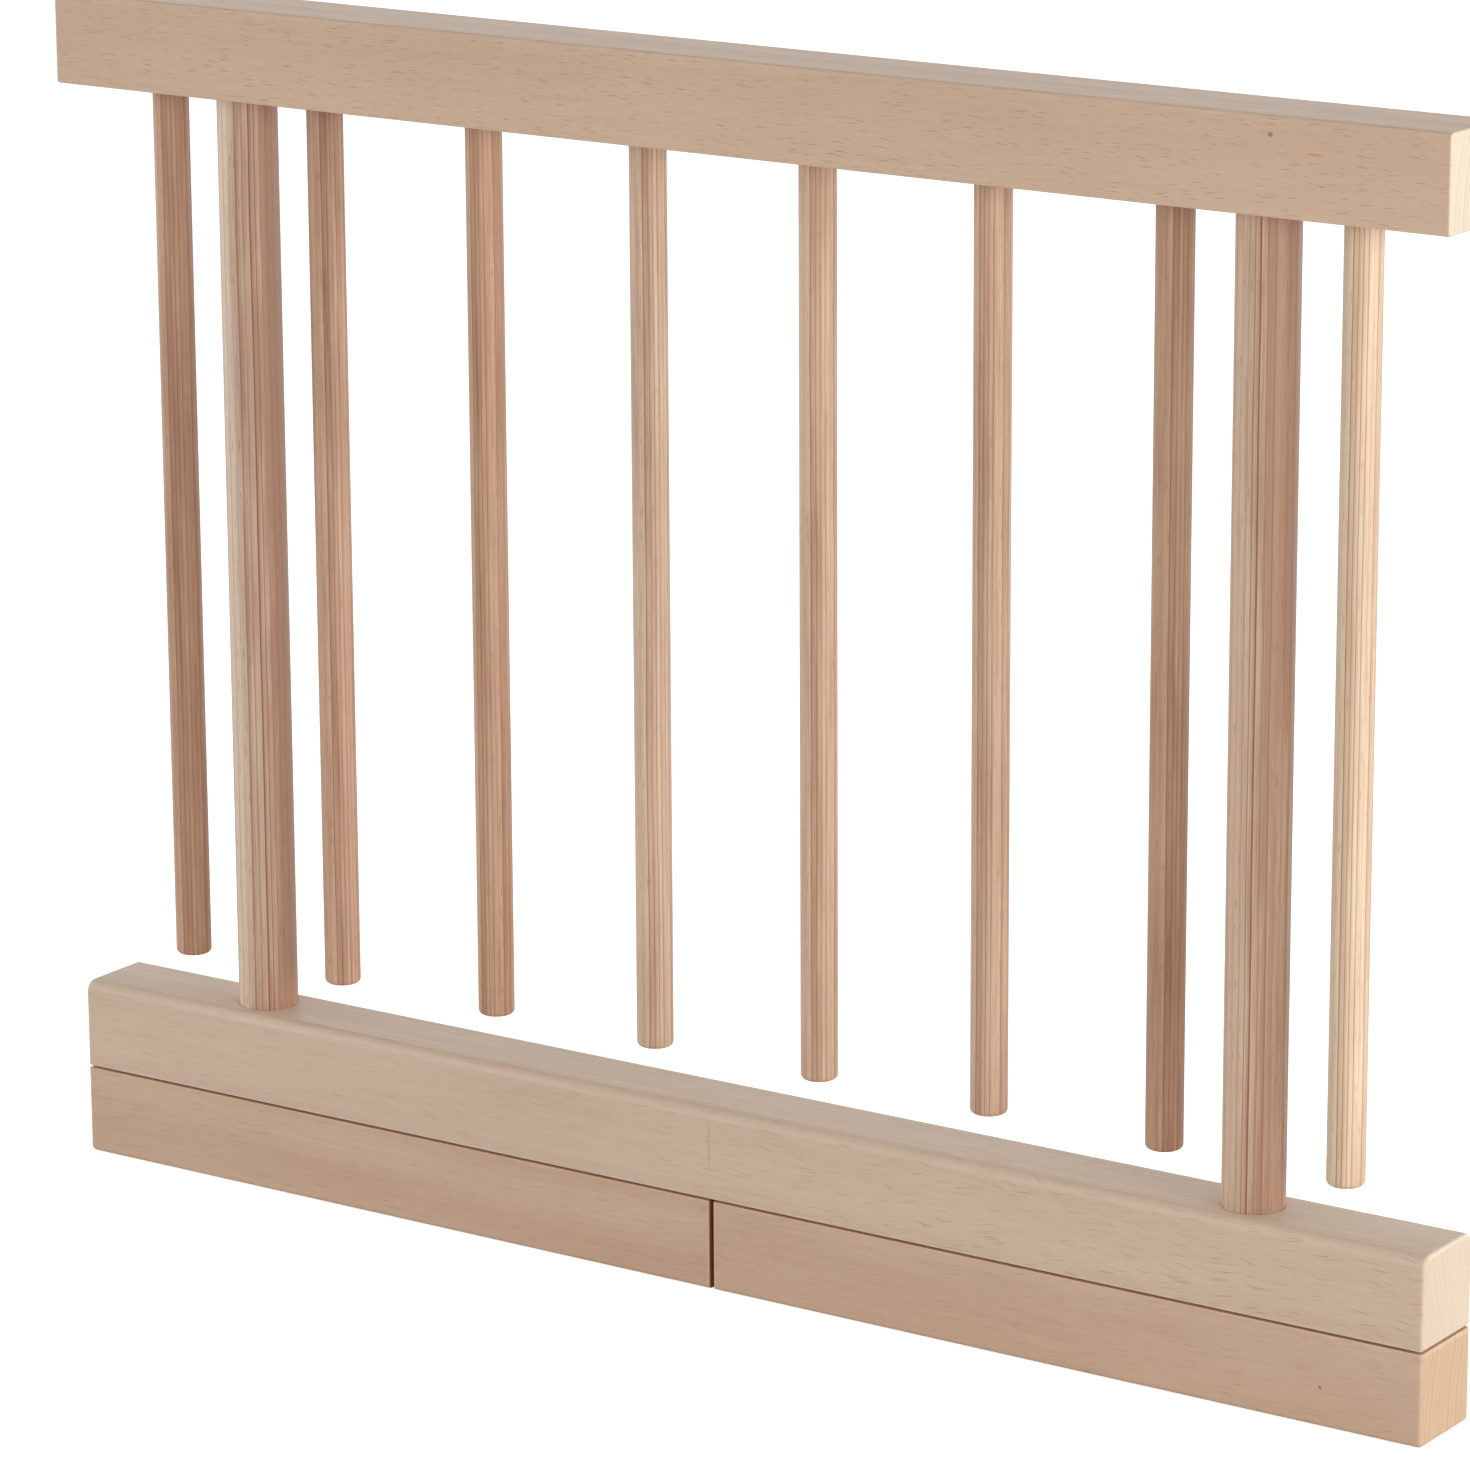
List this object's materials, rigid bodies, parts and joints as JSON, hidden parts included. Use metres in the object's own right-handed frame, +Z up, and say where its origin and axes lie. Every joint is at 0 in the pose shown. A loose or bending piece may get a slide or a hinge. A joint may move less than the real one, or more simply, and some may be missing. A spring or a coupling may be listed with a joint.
{
  "type": "baby gate",
  "caption": "Freestanding wooden safety baby gate: a top rail of hanging round spindles stands on two posts over a base bar, with swivel feet that turn crosswise.",
  "frame": {"origin": "on the floor, under the middle of the gate", "axes": "+X along the gate to its right, +Y to its back, +Z up"},
  "size_m": [0.65, 0.038, 0.503],
  "materials": {
    "beech_rail": "raw planed beech, matte, with short ray flecks",
    "beech_base": "raw planed beech, matte, with wavy flecked figure towards one end",
    "beech_foot": "raw planed beech, matte, slightly pink",
    "beech_post": "raw turned beech, matte, with strong lengthwise stripes",
    "beech_spindle": "raw turned beech, matte, each spindle of its own tone",
    "zinc_steel": "bright zinc plate",
    "brass": "turned",
    "fibre": "red-brown vulcanised fibre, matte"
  },
  "bodies": {
    "gate_frame": {"top_rail": "beech_rail", "base_bar": "beech_base", "post_left": "beech_post", "post_right": "beech_post", "spindle_1": "beech_spindle", "spindle_2": "beech_spindle", "spindle_3": "beech_spindle", "spindle_4": "beech_spindle", "spindle_5": "beech_spindle", "spindle_6": "beech_spindle", "spindle_7": "beech_spindle", "spindle_8": "beech_spindle", "pivot_bolt_left": "zinc_steel", "pivot_bolt_right": "zinc_steel", "spring_washer_left": "zinc_steel", "spring_washer_right": "zinc_steel", "bolt_washer_left": "zinc_steel", "bolt_washer_right": "zinc_steel", "slip_disc_left": "fibre", "slip_disc_right": "fibre", "stop_pin_left": "zinc_steel", "stop_pin_right": "zinc_steel", "post_insert_left": "brass", "post_insert_right": "brass"},
    "left_foot": {"foot_left": "beech_foot"},
    "right_foot": {"foot_right": "beech_foot"}
  },
  "joints": [
    {"name": "left_foot_swing", "type": "hinge", "parent": "gate_frame", "child": "left_foot", "pos_m": [-0.24, 0, 0.038], "axis": [0, 0, 1], "range_deg": [0, 90]},
    {"name": "right_foot_swing", "type": "hinge", "parent": "gate_frame", "child": "right_foot", "pos_m": [0.24, 0, 0.038], "axis": [0, 0, 1], "range_deg": [-90, 0]}
  ]
}
